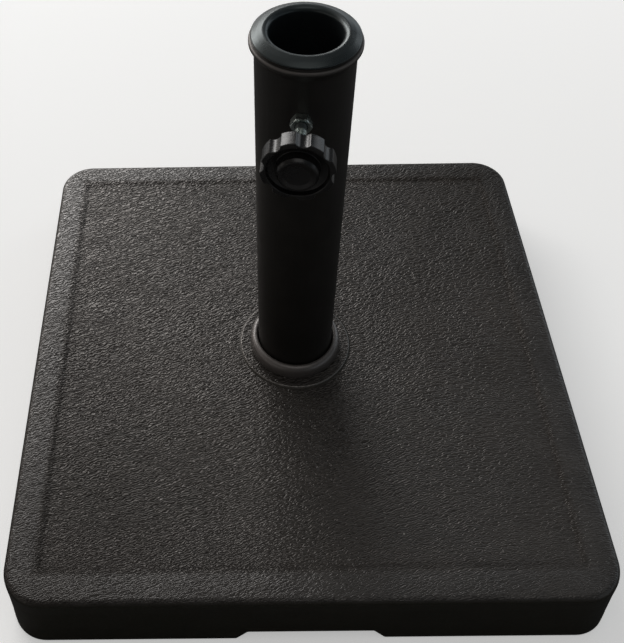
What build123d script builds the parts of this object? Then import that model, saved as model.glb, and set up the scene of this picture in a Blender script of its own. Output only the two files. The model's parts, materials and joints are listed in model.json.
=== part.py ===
from build123d import *
import math
import os

# Square concrete-filled parasol base, mm. Origin on the ground under the centre of the tube.
# +Z is up and -Y is the side the clamp knob faces.
# Names ending in _r are radii, in _z heights, in _half half widths, in _af widths across flats.

over = 1.0  # how far cutters run past the faces they cut


def corners(reach):
    return [(reach, reach), (-reach, reach), (-reach, -reach), (reach, -reach)]


# plate: the moulded top shell
plate_w = 420.0  # outer width at the top edge, both ways
plate_draft = 2.0  # how much narrower the skirt is at its bottom, per side
corner_r = 27.5  # plan radius of the corners at the top edge
skirt_z = 1.0  # bottom edge of the skirt, just off the ground
rim_z = 55.3  # top of the rim band
edge_round = 4.5  # rounding of the upper outer edge
shell_wall = 3.0
low_half = plate_w / 2 - plate_draft
low_corner_r = corner_r - plate_draft

# recessed panel inside the rim band, and the raised disc at its centre
panel_z = rim_z - 1.0
panel_half = 185.0  # at the foot of the panel's step
panel_corner_r = 9.0
panel_slope = 1.2  # run of the sloping step round the panel
shell_in_z = panel_z - shell_wall  # underside of the shell's top
disc_r = 43.9
disc_z = rim_z + 0.5

# grip notches in the bottom edge of the skirt, one in the middle of each side
notch_top_z = 10.9
notch_low_z = skirt_z - 2  # lower end of the cutter
notch_top_half = 43.5
notch_low_half = 53.0
notch_round = 2.5
notch_depth = 12.0
notch_in = 8.0  # cutter's inner face, from the plate's edge

# columns of the shell that take the tray screws
column_r = 5.5
column_xy = corners(186) + [(150, 0), (-150, 0), (0, 150), (0, -150)]
pilot_r = 2.0
pilot_top_z = 23.5

# bottom tray
tray_wall = 2.5
tray_z = 4.0  # underside
tray_top_z = tray_z + tray_wall
tray_gap = 0.1  # to the inside of the skirt
tray_half = low_half - shell_wall - tray_gap
tray_corner_r = 22.3
tray_screw_hole_r = 2.3
pocket_half = 48.0  # finger pocket behind each grip notch, inside
pocket_in = 167.0  # inner face of the pocket from the centre
pocket_roof_z = 21.5
cup_r = 24.0  # recess for the anchor bolt's head
cup_roof_z = 10.0
seat_z = 12.5  # raised seat that the tube and its sleeve stand on

# feet and the tray's bosses for their screws
foot_xy = corners(156)
foot_r = 16.0
foot_hole_r = 2.3
foot_recess_r = 5.0
foot_recess_z = 2.0
boss_r = 5.0
boss_top_z = 18.5
boss_hole_r = 1.9
boss_hole_z = 17.0

# self-tapping screws
tray_screw_head = 2.4  # head height
cross_long = 4.2  # cross recess in the head
cross_wide = 0.9
cross_high = 2.2  # half of it lies in the head

# socket sleeve and its collar
collar_r = 35.9
collar_z = 66.4
sleeve_r = 33.0
sleeve_gap = 0.35  # round the foot of the tube, opening to collar_gap at the collar
collar_gap = 0.8
gap_bend_z = 55.0  # where the gap changes its slope
seat_gap = 0.05  # round the tray's seat
shell_gap = 0.1  # between the sleeve and the shell

# upright tube
tube_top_z = 365.3
tube_r_low = 29.3  # outer radius at tube_low_z
tube_r_high = 34.1  # outer radius at tube_high_z
tube_low_z = 66.0
tube_high_z = 364.0
bore_r_low = 25.6  # bore of the tube at its lower end
bore_r_high = 30.7  # bore of the tube at its top
rim_r = 37.5
rim_under_z = 361.4
rim_flare_z = 356.5  # where the tube starts to flare out to its rim

# reducer insert
pole_bore_r = 24.2  # takes a 48 mm pole
mouth_r = 4.0  # rounding of the bore's mouth
insert_top_z = 371.0
insert_low_z = 333.0
flange_r = 36.3
flange_edge_z = 367.7
insert_wall = 3.0
insert_r = pole_bore_r + insert_wall
insert_ribs = 8
rib_gap = 0.09  # to the bore of the tube
rib_top_z = tube_top_z - 1.2
rib_root_r = insert_r - 0.5

# clamp; its Z stations run outwards from the axis of the tube
clamp_z = 322.3
clamp_turn_deg = -6.6  # direction of the screw about Z from the front
screw_r = 4.0  # M8
m8_af = 13.0  # screw head and bush
m8_head = 5.3
head_back = 74.0  # underside of the screw's head
thread_gap = 0.05
bush_head = 6.5
bush_shank_r = 5.4
bush_hole_r = bush_shank_r + 0.1
washer_r = 10.5
washer_face = 27.6  # flat inner face of the saddle washer
shoe_r = 7.0
shoe_back = 27.5
shoe_thick = 1.6
shoe_front = shoe_back - shoe_thick  # face towards the pole
tip_r = 2.0
tip_long = 1.0
tip_gap = 0.05  # between the screw and the shoe
shoulder = shoe_back + tip_gap  # where the screw steps down to its tip
tip_end = shoulder - tip_long

# knob and cap
knob_r = 23.5
knob_back = 69.1
knob_front = 81.4
knob_flutes = 8
flute_depth = 2.6
flute_r = 5.4
flute_phase_deg = 6.5  # first flute, clockwise from the top seen from the front
hub_r = 13.2
hub_front = 84.6
dish_depth = 4.5
cap_r = 12.0
cap_thick = 2.4
cap_back = hub_front - cap_thick

# anchor: M10 bolt, washers and nut through a tapered plug in the lower end of the tube
plug_low_z = 14.0
plug_top_z = 26.0
plug_gap = 0.03
m10_r = 5.0
m10_af = 16.0
m10_head = 6.4
m10_nut = 8.4
m10_length = 35.0
m10_hole_r = m10_r + 0.3
low_washer_r = 20.0
low_washer_z = cup_roof_z - 2.5
top_washer_r = 15.0
nut_z = plug_top_z + 2.0

# pole rest: an upturned cup on the plug
rest_z = 46.5
rest_roof = 2.8
rest_gap = 0.25


def half_width(z):
    """Outer half width of the shell at height z."""
    return low_half + plate_draft * (z - skirt_z) / (rim_z - skirt_z)


def tube_radius(z):
    rise = (z - tube_low_z) / (tube_high_z - tube_low_z)
    return tube_r_low + (tube_r_high - tube_r_low) * rise


def bore_radius(z):
    rise = (z - seat_z) / (tube_top_z - seat_z)
    return bore_r_low + (bore_r_high - bore_r_low) * rise


# ---------------------------------------------------------------- shape helpers
def disc(radius, bottom, top):
    return Pos(0, 0, bottom) * Cylinder(
        radius, top - bottom, align=(Align.CENTER, Align.CENTER, Align.MIN)
    )


def hole(radius, bottom, top):
    """Cutter for a through hole from bottom to top."""
    return disc(radius, bottom - over, top + over)


def hexagon(across_flats, bottom, top):
    sketch = RegularPolygon(across_flats / 2, 6, major_radius=False)
    return Pos(0, 0, bottom) * extrude(sketch, amount=top - bottom, dir=(0, 0, 1))


def rounded_square(half, plan_r, bottom, top):
    sketch = RectangleRounded(2 * half, 2 * half, plan_r)
    return Pos(0, 0, bottom) * extrude(sketch, amount=top - bottom, dir=(0, 0, 1))


def tapered(low, high, plan_r, bottom, top):
    """Rounded square prism whose half width goes from low at bottom to high at top."""
    angle = math.degrees(math.atan2(high - low, top - bottom))
    sketch = Pos(0, 0, bottom) * RectangleRounded(2 * low, 2 * low, plan_r)
    return extrude(sketch, amount=top - bottom, dir=(0, 0, 1), taper=-angle)


def turned(*points):
    """Solid of revolution about Z. Each point is (radius, z) or (radius, z, rounding)."""
    line = Polyline(*[(point[0], 0, point[1]) for point in points], close=True)
    face = make_face(line)
    for radius, z, *rounding in points:
        if rounding:
            corner = min(
                face.vertices(),
                key=lambda v: abs(v.X - radius) + abs(v.Y) + abs(v.Z - z),
            )
            face = fillet(corner, rounding[0])
    return revolve(face, axis=Axis.Z)


def copies(shape, places):
    result = Part()
    for x, y in places:
        result += Pos(x, y, 0) * shape
    return result


def around(shape, count=4, start_deg=0):
    """Copies of a shape at equal turns about Z."""
    result = Part()
    for k in range(count):
        result += Rot(0, 0, start_deg + 360 / count * k) * shape
    return result


def clamped(shape):
    """Move from a frame with +Z pointing out of the knob's face and +Y up to the clamp."""
    return Pos(0, 0, clamp_z) * Rot(0, 0, clamp_turn_deg) * Rot(90, 0, 0) * shape


def cone_at_clamp(radius_at, offset):
    """Solid filling a tapered surface of the tube for some way above and below the clamp."""
    low, high = clamp_z - 30, clamp_z + 30
    return turned((0, low), (radius_at(low) + offset, low), (radius_at(high) + offset, high), (0, high))


# ---------------------------------------------------------------- plate
def cavity():
    """Inside of the top shell, without its columns."""
    return tapered(
        half_width(skirt_z) - shell_wall,
        half_width(shell_in_z) - shell_wall,
        low_corner_r - shell_wall,
        skirt_z,
        shell_in_z,
    )


def panel_cutter():
    top_half = panel_half + panel_slope
    panel = tapered(panel_half, top_half, panel_corner_r, panel_z, rim_z)
    panel += rounded_square(top_half, panel_corner_r + panel_slope, rim_z, rim_z + 2)
    return panel


def notch_cutters():
    outline = make_face(
        Polyline(
            (-notch_low_half, 0, notch_low_z),
            (-notch_top_half, 0, notch_top_z),
            (notch_top_half, 0, notch_top_z),
            (notch_low_half, 0, notch_low_z),
            close=True,
        )
    )
    outline = fillet(outline.vertices().sort_by(Axis.Z)[-2:], notch_round)
    notch = extrude(outline, amount=notch_depth, dir=(0, -1, 0))
    return around(Pos(0, -plate_w / 2 + notch_in, 0) * notch)


def top_shell():
    outer = tapered(half_width(skirt_z), half_width(rim_z), low_corner_r, skirt_z, rim_z)
    outer = fillet(outer.faces().sort_by(Axis.Z)[-1].edges(), edge_round)
    centre_disc = turned(
        (0, panel_z - 1), (disc_r, panel_z - 1), (disc_r, disc_z, 0.5), (0, disc_z)
    )
    shell = outer - panel_cutter() + centre_disc - cavity()
    shell += copies(disc(column_r, tray_top_z, shell_in_z + 0.5), column_xy)
    shell -= copies(disc(pilot_r, tray_top_z - over, pilot_top_z), column_xy)
    shell -= disc(sleeve_r + shell_gap, shell_in_z - 2, disc_z + 2)
    shell -= notch_cutters()
    return shell


def pockets(wall, outset, bottom):
    """Finger pockets grown by wall, running outset past the tray's edge."""
    pocket = Box(
        2 * (pocket_half + wall),
        tray_half - pocket_in + wall + outset,
        pocket_roof_z + wall - bottom,
        align=(Align.CENTER, Align.MIN, Align.MIN),
    )
    return around(Pos(0, -tray_half - outset, bottom) * pocket)


def bottom_tray():
    tray = rounded_square(tray_half, tray_corner_r, tray_z, tray_top_z)
    tray += pockets(tray_wall, 0, tray_z)
    tray += disc(sleeve_r - seat_gap, tray_z, seat_z)
    tray += copies(disc(boss_r, tray_top_z, boss_top_z), foot_xy)
    tray -= pockets(0, 5, tray_z - 2)
    tray -= disc(cup_r, tray_z - over, cup_roof_z)
    tray -= hole(m10_r + 0.5, cup_roof_z, seat_z)
    tray -= copies(disc(boss_hole_r, tray_z - over, boss_hole_z), foot_xy)
    tray -= copies(hole(tray_screw_hole_r, tray_z, tray_top_z), column_xy)
    return tray


def concrete_ballast():
    """Fills the shell above the tray, round the pockets, sleeve, columns and bosses."""
    block = cavity() - disc(400, skirt_z - over, tray_top_z)
    block -= pockets(tray_wall, 6, tray_top_z - over)
    block -= hole(sleeve_r, tray_top_z, shell_in_z)
    block -= copies(hole(column_r, tray_top_z, shell_in_z), column_xy)
    block -= copies(disc(boss_r, tray_top_z - over, boss_top_z), foot_xy)
    return block


# ---------------------------------------------------------------- socket and tube
def socket_sleeve():
    return turned(
        (tube_radius(seat_z) + sleeve_gap, seat_z),
        (sleeve_r, seat_z),
        (sleeve_r, disc_z),
        (collar_r, disc_z),
        (collar_r - 0.5, collar_z, 4.2),
        (tube_radius(collar_z) + collar_gap, collar_z, 0.6),
        (tube_radius(gap_bend_z) + collar_gap * 0.6, gap_bend_z),
    )


def upright_tube():
    tube = turned(
        (bore_r_low, seat_z),
        (tube_radius(seat_z), seat_z, 0.8),
        (tube_radius(rim_flare_z), rim_flare_z, 4.0),
        (rim_r - 1.2, rim_under_z),
        (rim_r, rim_under_z + 0.6, 0.5),
        (rim_r, tube_top_z, 1.3),
        (bore_r_high, tube_top_z, 0.4),
    )
    # the clamp's hole goes through the front wall only
    return tube - clamped(disc(bush_hole_r, 22, 42))


# ---------------------------------------------------------------- anchor and pole rest
def m10_washer(radius, bottom, top):
    return disc(radius, bottom, top) - hole(m10_hole_r, bottom, top)


def anchor_washer_lower():
    return m10_washer(low_washer_r, low_washer_z, cup_roof_z)


def anchor_washer_upper():
    return m10_washer(top_washer_r, plug_top_z, nut_z)


def anchor_bolt():
    head_top = low_washer_z
    head_low = head_top - m10_head
    end = head_top + m10_length
    head = hexagon(m10_af, head_low, head_top)
    head &= turned(
        (0, head_low),
        (m10_af / 2 - 0.3, head_low),
        (m10_af / 2 + 1.4, head_low + 1.0),
        (m10_af / 2 + 1.4, head_top),
        (0, head_top),
    )
    shank = turned(
        (0, head_top - 0.5),
        (m10_r, head_top - 0.5),
        (m10_r, end - 1.0),
        (m10_r - 1.0, end),
        (0, end),
    )
    return head + shank


def anchor_nut():
    top = nut_z + m10_nut
    nut = hexagon(m10_af, nut_z, top) & turned(
        (0, nut_z),
        (m10_af / 2 - 0.1, nut_z),
        (m10_af / 2 + 1.4, nut_z + 0.9),
        (m10_af / 2 + 1.4, top - 0.9),
        (m10_af / 2 - 0.1, top),
        (0, top),
    )
    return nut - hole(m10_r + thread_gap, nut_z, top)


def tube_end_plug():
    return turned(
        (m10_hole_r, plug_low_z),
        (bore_radius(plug_low_z) - plug_gap, plug_low_z, 0.6),
        (bore_radius(plug_top_z) - plug_gap, plug_top_z),
        (m10_hole_r, plug_top_z),
    )


def pole_rest():
    return turned(
        (16.5, plug_top_z),
        (bore_radius(plug_top_z) - rest_gap, plug_top_z),
        (bore_radius(rest_z) - rest_gap, rest_z, 0.8),
        (0, rest_z),
        (0, rest_z - rest_roof),
        (15.5, rest_z - rest_roof, 1.0),
    )


# ---------------------------------------------------------------- reducer insert
def reducer_insert():
    insert = turned(
        (pole_bore_r, insert_low_z),
        (insert_r, insert_low_z, 0.6),
        (insert_r, tube_top_z),
        (33.6, tube_top_z),
        (34.4, tube_top_z + 1.1),
        (flange_r - 0.3, tube_top_z + 1.2),
        (flange_r, tube_top_z + 1.7),
        (flange_r - 0.7, flange_edge_z + 0.1, 1.2),
        (pole_bore_r + mouth_r + 0.4, insert_top_z, 0.45),
        (pole_bore_r, insert_top_z, mouth_r),
    )
    # ribs: upright boxes trimmed to the taper of the tube's bore
    rib_cone = turned(
        (rib_root_r, insert_low_z + 1.0),
        (bore_radius(insert_low_z) - rib_gap, insert_low_z + 1.0),
        (bore_radius(rib_top_z) - rib_gap, rib_top_z),
        (rib_root_r, rib_top_z),
    )
    rib = Box(6, 2.0, 40, align=(Align.CENTER, Align.CENTER, Align.MIN))
    ribs = around(Pos(29.5, 0, insert_low_z) * rib, insert_ribs, start_deg=22.5)
    return insert + (rib_cone & ribs)


# ---------------------------------------------------------------- clamp
def clamp_bush():
    """Hexagon fitted to the outside of the tube, with a round shank through its wall."""
    tube_face = tube_radius(clamp_z)
    front = tube_face + bush_head
    head = hexagon(m8_af, 30.0, front) & turned(
        (0, 30.0),
        (m8_af / 2 + 1.1, 30.0),
        (m8_af / 2 + 1.1, front - 0.9),
        (m8_af / 2 - 0.2, front),
        (0, front),
    )
    shank = turned(
        (0, washer_face),
        (bush_shank_r + 0.8, washer_face),
        (bush_shank_r, washer_face + 1.0),
        (bush_shank_r, tube_face + 1.0),
        (0, tube_face + 1.0),
    )
    bush = clamped(head) - cone_at_clamp(tube_radius, 0.02) + clamped(shank)
    return bush - clamped(hole(screw_r + thread_gap, washer_face, front))


def bush_saddle_washer():
    """Flat on its inner face and fitted to the tube's bore on its outer face."""
    saddle = disc(washer_r, washer_face, 34.0)
    saddle -= turned(
        (0, washer_face - 0.5),
        (bush_shank_r + 1.3, washer_face - 0.5),
        (bush_hole_r, washer_face + 1.0),
        (bush_hole_r, 35.0),
        (0, 35.0),
    )
    return clamped(saddle) & cone_at_clamp(bore_radius, -0.02)


def clamp_screw():
    body = turned(
        (0, tip_end),
        (tip_r, tip_end),
        (tip_r, shoulder),
        (screw_r - 0.6, shoulder),
        (screw_r, shoulder + 0.6),
        (screw_r, head_back + 0.5),
        (0, head_back + 0.5),
    )
    return clamped(body + hexagon(m8_af, head_back, head_back + m8_head))


def clamp_shoe():
    shoe = turned(
        (0, shoe_front),
        (shoe_r - 0.5, shoe_front),
        (shoe_r, shoe_front + 0.5),
        (shoe_r, shoe_back),
        (tip_r + tip_gap, shoe_back),
        (tip_r + tip_gap, tip_end - tip_gap),
        (0, tip_end - tip_gap),
    )
    return clamped(shoe)


def knob_body():
    knob = turned(
        (0, knob_back),
        (9.5, knob_back),
        (10.5, knob_back + 2.0),
        (18.0, knob_back + 2.0),
        (19.0, knob_back),
        (knob_r - 0.5, knob_back),
        (knob_r, knob_back + 2.0),
        (knob_r, knob_front - 1.0, 0.4),
        (knob_r - 0.6, knob_front, 0.3),
        (knob_r - 3.4, knob_front, 0.6),
        (knob_r - 4.6, knob_front - 1.6),
        (hub_r + 0.5, knob_front - dish_depth, 0.8),
        (hub_r, hub_front, 0.4),
        (cap_r + 0.05, hub_front),
        (cap_r + 0.05, cap_back),
        (0, cap_back),
    )
    knob -= hole(screw_r + 0.03, knob_back, head_back)
    knob -= hexagon(m8_af + 0.06, head_back, hub_front)
    flute_reach = knob_r - flute_depth + flute_r
    for k in range(knob_flutes):
        angle = math.radians(90 - flute_phase_deg - 360 / knob_flutes * k)
        place = Pos(flute_reach * math.cos(angle), flute_reach * math.sin(angle), 0)
        knob -= place * hole(flute_r, knob_back, knob_front)
    return clamped(knob)


def knob_cap():
    cap = turned(
        (0, cap_back),
        (cap_r, cap_back),
        (cap_r, hub_front + 0.3, 0.4),
        (cap_r - 1.6, hub_front + 0.3),
        (cap_r - 3.0, hub_front - 0.3),
        (0, hub_front - 0.5),
    )
    return clamped(cap)


# ---------------------------------------------------------------- screws and feet under the tray
def self_tapper(head_low, head_top, head_r, shank_r, end):
    """Screw pointing up, with a cross recess in the underside of its head."""
    screw = turned(
        (0, head_low),
        (head_r - 0.7, head_low),
        (head_r, head_low + 0.9),
        (head_r, head_top),
        (shank_r, head_top),
        (shank_r, end - 2.0),
        (0.3, end),
        (0, end),
    )
    cross = Box(cross_wide, cross_long, cross_high) + Box(cross_long, cross_wide, cross_high)
    return screw - Pos(0, 0, head_low) * cross


def set_of(shape, places):
    """Separate solids, one at each place."""
    return Compound(children=[Pos(x, y, 0) * shape for x, y in places])


def tray_screws():
    screw = self_tapper(
        head_low=tray_z - tray_screw_head, head_top=tray_z, head_r=4.0, shank_r=1.95, end=21.0
    )
    return set_of(screw, column_xy)


def foot_pads():
    pad = turned(
        (foot_hole_r, foot_recess_z),
        (foot_recess_r, foot_recess_z),
        (foot_recess_r, 0),
        (foot_r - 0.8, 0),
        (foot_r, 0.8),
        (foot_r - 0.6, tray_z),
        (foot_hole_r, tray_z),
    )
    return set_of(pad, foot_xy)


def foot_pad_screws():
    screw = self_tapper(
        head_low=0.4, head_top=foot_recess_z, head_r=4.2, shank_r=1.85, end=16.0
    )
    return set_of(screw, foot_xy)


# ---------------------------------------------------------------- one file for each piece
pieces = [
    top_shell,
    bottom_tray,
    concrete_ballast,
    socket_sleeve,
    upright_tube,
    tube_end_plug,
    anchor_bolt,
    anchor_washer_lower,
    anchor_washer_upper,
    anchor_nut,
    pole_rest,
    reducer_insert,
    clamp_bush,
    bush_saddle_washer,
    clamp_screw,
    clamp_shoe,
    knob_body,
    knob_cap,
    tray_screws,
    foot_pads,
    foot_pad_screws,
]
os.makedirs("parts", exist_ok=True)
for build in pieces:
    shape = build()
    shape.label = build.__name__
    export_step(shape, "parts/" + shape.label + ".step")
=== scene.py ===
import json
import math

import bpy
import numpy as np
from mathutils import Matrix, Vector


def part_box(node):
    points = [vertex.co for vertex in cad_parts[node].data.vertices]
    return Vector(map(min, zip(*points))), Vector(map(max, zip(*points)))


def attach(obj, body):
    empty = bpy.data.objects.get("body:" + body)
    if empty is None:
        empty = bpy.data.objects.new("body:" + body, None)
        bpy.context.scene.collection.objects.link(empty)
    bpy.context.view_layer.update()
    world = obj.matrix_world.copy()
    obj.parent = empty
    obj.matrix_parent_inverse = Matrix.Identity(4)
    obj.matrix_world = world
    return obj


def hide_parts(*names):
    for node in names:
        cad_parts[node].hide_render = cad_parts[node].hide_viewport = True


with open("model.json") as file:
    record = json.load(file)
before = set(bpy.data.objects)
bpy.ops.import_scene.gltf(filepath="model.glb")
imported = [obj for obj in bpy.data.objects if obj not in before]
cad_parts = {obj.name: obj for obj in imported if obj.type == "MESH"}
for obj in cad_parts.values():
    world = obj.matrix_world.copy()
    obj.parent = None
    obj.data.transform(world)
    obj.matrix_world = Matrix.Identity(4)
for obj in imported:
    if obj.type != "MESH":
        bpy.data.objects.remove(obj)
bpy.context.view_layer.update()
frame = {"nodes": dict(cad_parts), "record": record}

MM = 0.001
rng = np.random.default_rng(7)


# ------------------------------------------------------------------ sizes from the CAD frame, in mm
def mm_box(node):
    lo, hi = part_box(node)
    return np.array(lo) / MM, np.array(hi) / MM


shell_lo, shell_hi = mm_box("top_shell")
tube_lo, tube_hi = mm_box("upright_tube")
ins_lo, ins_hi = mm_box("reducer_insert")
slv_lo, slv_hi = mm_box("socket_sleeve")
BORE_R = next(m for m in frame["record"]["mounts"] if m["name"] == "pole_bore")["dims"]["r_mm"]

DISC_Z = shell_hi[2]
RIM_Z = DISC_Z - 0.5
PANEL_Z = DISC_Z - 1.5
SKIRT_Z = shell_lo[2]
DRAFT = 2.0
WALL = 3.0
EDGE = 4.5
SHOULDER = 0.34
HALF_TOP = shell_hi[0] + DRAFT * EDGE / (RIM_Z - SKIRT_Z)
CORNER_R = 27.5
DISC_R = 43.9
PANEL_HALF = 185.0
SHELL_IN_Z = RIM_Z - 4.0
NOTCH_Z = SKIRT_Z + 9.9

TUBE_TOP = tube_hi[2]
TUBE_Z0 = tube_lo[2]
RIM_R = tube_hi[0]
INSERT_TOP = ins_hi[2]
INSERT_LOW = ins_lo[2]
FLANGE_R = ins_hi[0]
COLLAR_R = slv_hi[0]
COLLAR_Z = slv_hi[2]

spin = next(j for j in frame["record"]["behaviour"]["joints"] if j["name"] == "knob_spin")
INWARD = Vector(spin["axis"]).normalized()
CLAMP_Z = spin["pos_m"][2] / MM


def tube_r(z):
    return 29.3 + (34.1 - 29.3) * (z - 66.0) / (364.0 - 66.0)


def bore_r(z):
    return 25.6 + (30.7 - 25.6) * (z - TUBE_Z0) / (TUBE_TOP - TUBE_Z0)


# ------------------------------------------------------------------ mesh helpers
def make_object(name, verts, faces, sharp_deg=35.0):
    mesh = bpy.data.meshes.new(name)
    mesh.from_pydata([tuple(v) for v in np.asarray(verts, float) * MM], [], faces)
    mesh.update()
    mesh.validate()
    ob = bpy.data.objects.new(name, mesh)
    bpy.context.scene.collection.objects.link(ob)
    for p in mesh.polygons:
        p.use_smooth = True
    mesh.set_sharp_from_angle(angle=math.radians(sharp_deg))
    return ob


def rounded(points, closed=True, step_deg=9.0):
    """A polyline of (r, z, radius) corners as dense (r, z) points with each corner rounded."""
    pts = [np.array(p[:2], float) for p in points]
    rad = [p[2] if len(p) > 2 else 0.0 for p in points]
    n = len(pts)
    out = []
    for i in range(n):
        if rad[i] <= 0 or (not closed and i in (0, n - 1)):
            out.append(pts[i])
            continue
        a, b, c = pts[i - 1], pts[i], pts[(i + 1) % n]
        u, v = a - b, c - b
        lu, lv = np.linalg.norm(u), np.linalg.norm(v)
        u, v = u / lu, v / lv
        ang = math.acos(float(np.clip(u @ v, -1, 1)))
        if ang > math.pi - 1e-3:
            out.append(b)
            continue
        d = min(rad[i] / math.tan(ang / 2), lu * 0.49, lv * 0.49)
        r = d * math.tan(ang / 2)
        centre = b + (u + v) / np.linalg.norm(u + v) * (r / math.sin(ang / 2))
        p0, p1 = b + u * d, b + v * d
        a0 = math.atan2(*(p0 - centre)[::-1])
        a1 = math.atan2(*(p1 - centre)[::-1])
        da = (a1 - a0 + math.pi) % (2 * math.pi) - math.pi
        k = max(2, int(abs(math.degrees(da)) / step_deg) + 1)
        for t in np.linspace(0, 1, k + 1):
            out.append(centre + r * np.array([math.cos(a0 + da * t), math.sin(a0 + da * t)]))
    return out


def loft(rings, close_loop=True):
    """rings: a list of (N, 3) arrays round the axis. Quads between each two; the last joins the first when close_loop."""
    n = len(rings[0])
    verts = np.concatenate(rings)
    faces = []
    m = len(rings)
    j = np.arange(n)
    k = (j + 1) % n
    for i in range(m if close_loop else m - 1):
        a, b = i * n, ((i + 1) % m) * n
        faces += np.stack([a + j, a + k, b + k, b + j], 1).tolist()
    return verts, faces


def cap_ring(verts, faces, ring_start, n, point, flip):
    """Closes a ring with a fan to one point."""
    verts = np.vstack([verts, [point]])
    c = len(verts) - 1
    for j in range(n):
        a, b = ring_start + j, ring_start + (j + 1) % n
        faces.append([a, b, c] if not flip else [b, a, c])
    return verts, faces


def lathe(profile, n=128, theta=None):
    """profile: closed list of (r, z). Returns verts, faces for a solid of revolution about Z."""
    th = np.linspace(0, 2 * math.pi, n, endpoint=False) if theta is None else theta
    c, s = np.cos(th), np.sin(th)
    rings = [np.stack([r * c, r * s, np.full(len(th), z)], 1) for r, z in profile]
    return loft(rings)


def outwards(ob):
    """Makes the faces of each closed shell point out."""
    import bmesh

    bm = bmesh.new()
    bm.from_mesh(ob.data)
    bmesh.ops.recalc_face_normals(bm, faces=bm.faces)
    bm.to_mesh(ob.data)
    bm.free()
    ob.data.update()
    for p in ob.data.polygons:
        p.use_smooth = True
    return ob


def smooth_noise(x, y, wave, seed):
    """Smooth value noise of about the given wavelength, on arrays of points, from -1 to 1."""
    r = np.random.default_rng(seed)
    size = 64
    grid = r.uniform(-1, 1, (size, size))
    u, v = x / wave + 17.3, y / wave + 9.1
    iu, iv = np.floor(u).astype(int), np.floor(v).astype(int)
    fu, fv = u - iu, v - iv
    fu, fv = fu * fu * fu * (fu * (fu * 6 - 15) + 10), fv * fv * fv * (fv * (fv * 6 - 15) + 10)
    g = lambda a, b: grid[a % size, b % size]
    return (
        g(iu, iv) * (1 - fu) * (1 - fv)
        + g(iu + 1, iv) * fu * (1 - fv)
        + g(iu, iv + 1) * (1 - fu) * fv
        + g(iu + 1, iv + 1) * fu * fv
    )


def add_attribute(ob, name, values):
    at = ob.data.attributes.new(name, "FLOAT", "POINT")
    at.data.foreach_set("value", np.asarray(values, np.float32))


def smoothstep(a, b, x):
    t = np.clip((x - a) / (b - a), 0, 1)
    return t * t * (3 - 2 * t)


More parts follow.
